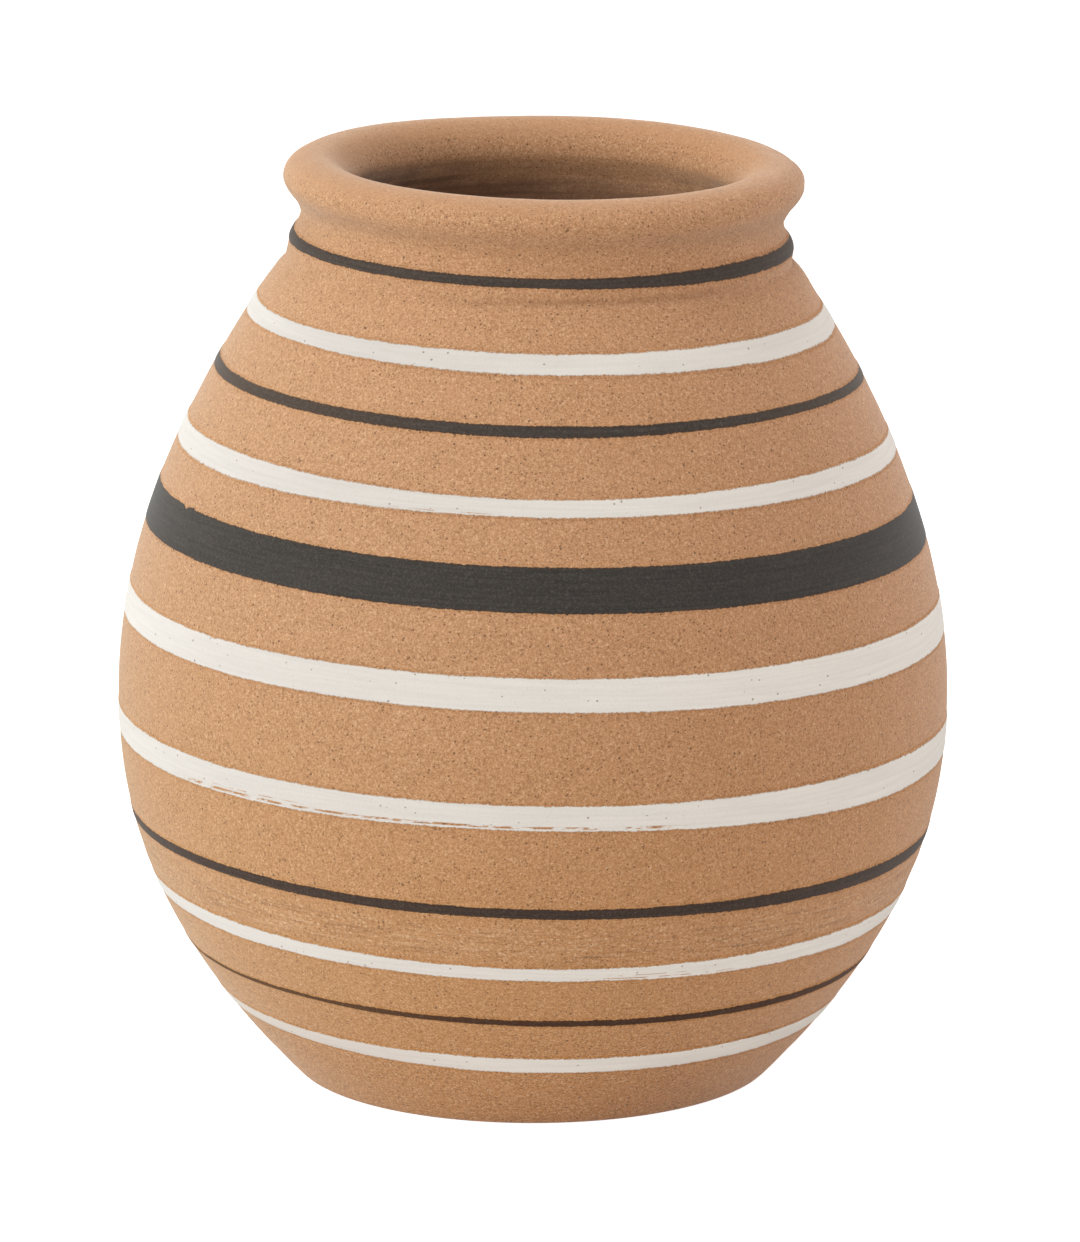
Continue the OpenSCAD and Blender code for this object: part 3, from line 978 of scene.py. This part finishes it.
class JAR_OT_brush_band(bpy.types.Operator):
    """Brush one band of slip round the jar, on the wall that its frame node follows"""

    bl_idname = "jar.brush_band"
    bl_label = "Brush Band"

    node: StringProperty(name="Band", description="The band's node in the frame")

    def execute(self, context):
        brush, node = context.scene.jar_slip, frame["nodes"][self.node]
        habit = HABIT | BANDS[self.node]
        drop = math.tan(brush.lean)
        low = Vector((math.cos(brush.low_side), math.sin(brush.low_side), 0))
        heights = [v.co.z + drop * v.co.dot(low) for v in node.data.vertices]
        radius = max(v.co.xy.length for v in node.data.vertices) + STRIP_GAP
        middle = (max(heights) + min(heights)) / 2
        width = max(heights) - min(heights) + 2 * brush.fringe

        bpy.ops.object.select_all(action="DESELECT")
        bpy.ops.mesh.primitive_cylinder_add(
            vertices=brush.steps, radius=radius, depth=width, end_fill_type="NOTHING",
            location=(0, 0, middle), rotation=(0, brush.lean, brush.low_side))
        strip = context.object
        strip.name = self.node + "_slip"
        bpy.ops.object.transform_apply(location=True, rotation=True, scale=True)
        self.guide_edges(strip, habit, middle, low * drop, radius)
        self.lay(strip, habit, width, brush)
        finish = make_slip(self.node + "_finish", self.ground(brush, habit), brush,
                           context.scene.jar_clay, width, habit)
        slot = "black_slip" if self.node in BLACK_BANDS else "white_slip"
        finish_piece(strip, strip.name, self.node, finish)
        return {"FINISHED"}

    def ground(self, brush, habit):
        """The slip's own colour on this band."""
        colour = Vector(brush.white)
        if self.node in BLACK_BANDS:
            colour = Vector(brush.black).lerp(Vector(brush.stain), habit["stain"])
        return tuple(colour * habit["pale"])

    def guide_edges(self, strip, habit, middle, drop, radius):
        """Moves each edge up or down where the brush wandered, then cuts the strip lengthwise."""
        mode("EDIT")
        rng = random.Random(strip.name)
        reach = 2 * radius * math.sin(math.radians(GUIDE_GAP / 2))
        for upper, edge in ((True, "top"), (False, "bottom")):
            pick(lambda v: (v.co.z + v.co.dot(drop) > middle) != upper)
            bpy.ops.mesh.hide()
            moves = [(side, rise, reach)
                     for side, rise in zip((-GUIDE_GAP, 0, GUIDE_GAP), habit[edge])]
            moves += [(turn * GUIDE_GAP, rng.uniform(-BACK_WANDER, BACK_WANDER), reach)
                      for turn in (2, 3, 4)]
            if upper:
                moves += [(side, rise, size * MM) for side, rise, size in habit["nicks"]]
            for side, rise, size in moves:
                pick(lambda v: near(v, side, GUIDE_WIDTH))
                pull((0, 0, rise * MM), size)
            bpy.ops.mesh.reveal(select=False)
        pick(lambda e: (e.verts[0].co.xy - e.verts[1].co.xy).length < UPRIGHT * abs(
            e.verts[0].co.z - e.verts[1].co.z), "EDGE")
        bpy.ops.mesh.subdivide(number_cuts=habit["cuts"])
        mode("OBJECT")

    def lay(self, strip, habit, width, brush):
        """Lets the edges waver, lays the strip on the wall and gives it its thickness."""
        heights = {}
        for loop, corner in zip(strip.data.loops, strip.data.uv_layers[0].data):
            heights[loop.vertex_index] = corner.uv.y
        group_by(strip, "top", lambda v: heights[v.index])
        group_by(strip, "bottom", lambda v: 1 - heights[v.index])
        group_by(strip, "body", lambda v: SKIN_SHARE + (1 - SKIN_SHARE) * smooth(
            0.0, SKIN_RAMP / width, min(heights[v.index], 1 - heights[v.index])))
        waver = brush.waver * habit["waver"]
        for group, size in WAVER_SIZES:
            displace(strip, "waver_" + group, size, 3, "Z", group, waver)
        wrap = strip.modifiers.new("wrap", "SHRINKWRAP")
        wrap.target = bpy.data.objects[habit["wall"]]
        wrap.wrap_method, wrap.wrap_mode = "PROJECT", "ON_SURFACE"
        wrap.use_positive_direction = wrap.use_negative_direction = True
        skin = strip.modifiers.new("skin", "SOLIDIFY")
        skin.thickness = brush.thickness + brush.sink
        skin.offset = (brush.thickness - brush.sink) / (brush.thickness + brush.sink)
        skin.vertex_group, skin.thickness_vertex_group = "body", 0.0
        apply_all(strip)


# The studio


# Each lamp: degrees round the jar from the front, positive to the right, degrees above level, tint
LAMPS = {
    "key": (-75, 38, (0.93, 1.0, 0.97)),
    "front": (-50, 12, (0.97, 1.0, 0.96)),
    "fill": (0, 30, (1.0, 0.955, 0.915)),
    "rim": (100, 8, (1.0, 0.955, 0.915)),
    "top": (0, 89.9, (1.0, 1.0, 0.98)),
}
FLOOR_SIZE = 6.0
WHITE = (1, 1, 1)
# The camera looks down by some degrees; its sensor and lens are in millimetres
CAMERA_PLACE = (1.7 * MM, -1820.3 * MM, 524.55 * MM)
CAMERA_PITCH = 12.84
CAMERA_SENSOR, CAMERA_LENS = 36.0, 223.6


class JAR_OT_set_studio(bpy.types.Operator):
    """Set the pale floor, the soft lamps, the white surroundings and the camera"""

    bl_idname = "jar.set_studio"
    bl_label = "Set Studio"

    def execute(self, context):
        scene, light = context.scene, context.scene.jar_light
        self.lay_floor(light)
        self.light_world(scene, light)
        self.hang_lamps(scene, light)
        self.aim_camera(scene)
        scene.view_settings.view_transform = "Standard"
        return {"FINISHED"}

    def lay_floor(self, light):
        bpy.ops.object.select_all(action="DESELECT")
        bpy.ops.mesh.primitive_plane_add(size=FLOOR_SIZE, location=(0, 0, 0))
        floor = bpy.context.object
        floor.name = "studio_floor"
        finish = Finish("studio_floor")
        glow = finish.node("Emission", {
            "Color": WHITE, "Strength": finish.seen() * light.floor_glow})
        matte = finish.node("BsdfDiffuse", {"Color": light.floor})
        finish.end("OutputMaterial", finish.node("AddShader", {0: glow, 1: matte}))
        floor.data.materials.append(finish.material)

    def light_world(self, scene, light):
        """White surroundings: in full where they are seen, fainter as light on the jar."""
        world = bpy.data.worlds.new("studio")
        world.use_nodes = True
        scene.world = world
        nodes = Nodes(world.node_tree)
        level = nodes.node("MapRange", {"Value": nodes.seen(), "To Min": light.ambient})
        nodes.end("OutputWorld", nodes.node("Background", {"Color": WHITE, "Strength": level}))

    def hang_lamps(self, scene, light):
        aim = (BODY_LOW + BODY_HIGH) / 2
        for name, (side, climb, tint) in LAMPS.items():
            lamp = bpy.data.lights.new(name + "_lamp", "AREA")
            lamp.shape, lamp.size, lamp.energy = "SQUARE", light.lamp_size, getattr(light, name)
            lamp.color = tint
            rise = math.radians(climb)
            away = Vector((*(towards(side) * math.cos(rise)), math.sin(rise)))
            holder = bpy.data.objects.new(name + "_lamp", lamp)
            scene.collection.objects.link(holder)
            holder.location = aim + light.lamp_reach * away
            holder.rotation_euler = (-away).to_track_quat("-Z", "Y").to_euler()

    def aim_camera(self, scene):
        lens = bpy.data.cameras.new("camera")
        lens.sensor_width, lens.lens = CAMERA_SENSOR, CAMERA_LENS
        camera = bpy.data.objects.new("camera", lens)
        scene.collection.objects.link(camera)
        camera.location = CAMERA_PLACE
        camera.rotation_euler = (math.radians(90 - CAMERA_PITCH), 0, 0)
        scene.camera = camera


# The add-on


class JAR_PT_panel(bpy.types.Panel):
    """The steps of making the jar, and the sizes and colours that they use"""

    bl_label = "Terracotta Jar"
    bl_idname = "JAR_PT_panel"
    bl_space_type = "VIEW_3D"
    bl_region_type = "UI"
    bl_category = "Jar"

    def draw(self, context):
        layout = self.layout
        layout.operator("jar.throw_clay")
        for node in BLACK_BANDS + WHITE_BANDS:
            layout.operator("jar.brush_band", text=node).node = node
        layout.operator("jar.set_studio")
        for name in GROUPS:
            group, box = getattr(context.scene, name), layout.box()
            for entry in group.__annotations__:
                box.prop(group, entry)


GROUPS = {"jar_sizes": JarSizes, "jar_clay": ClayFinish, "jar_slip": SlipFinish,
          "jar_light": StudioLight}
TOOLS = (JAR_OT_throw_clay, JAR_OT_brush_band, JAR_OT_set_studio, JAR_PT_panel)


def register():
    for name, group in GROUPS.items():
        bpy.utils.register_class(group)
        setattr(bpy.types.Scene, name, PointerProperty(type=group))
    for tool in TOOLS:
        bpy.utils.register_class(tool)


def unregister():
    for tool in reversed(TOOLS):
        bpy.utils.unregister_class(tool)
    for name, group in reversed(GROUPS.items()):
        delattr(bpy.types.Scene, name)
        bpy.utils.unregister_class(group)


def main():
    register()
    make_clay("bare_clay", bpy.context.scene.jar_clay)
    bpy.ops.jar.throw_clay()
    for node in BLACK_BANDS + WHITE_BANDS:
        bpy.ops.jar.brush_band(node=node)
    bpy.ops.jar.set_studio()


if __name__ == "__main__":
    main()
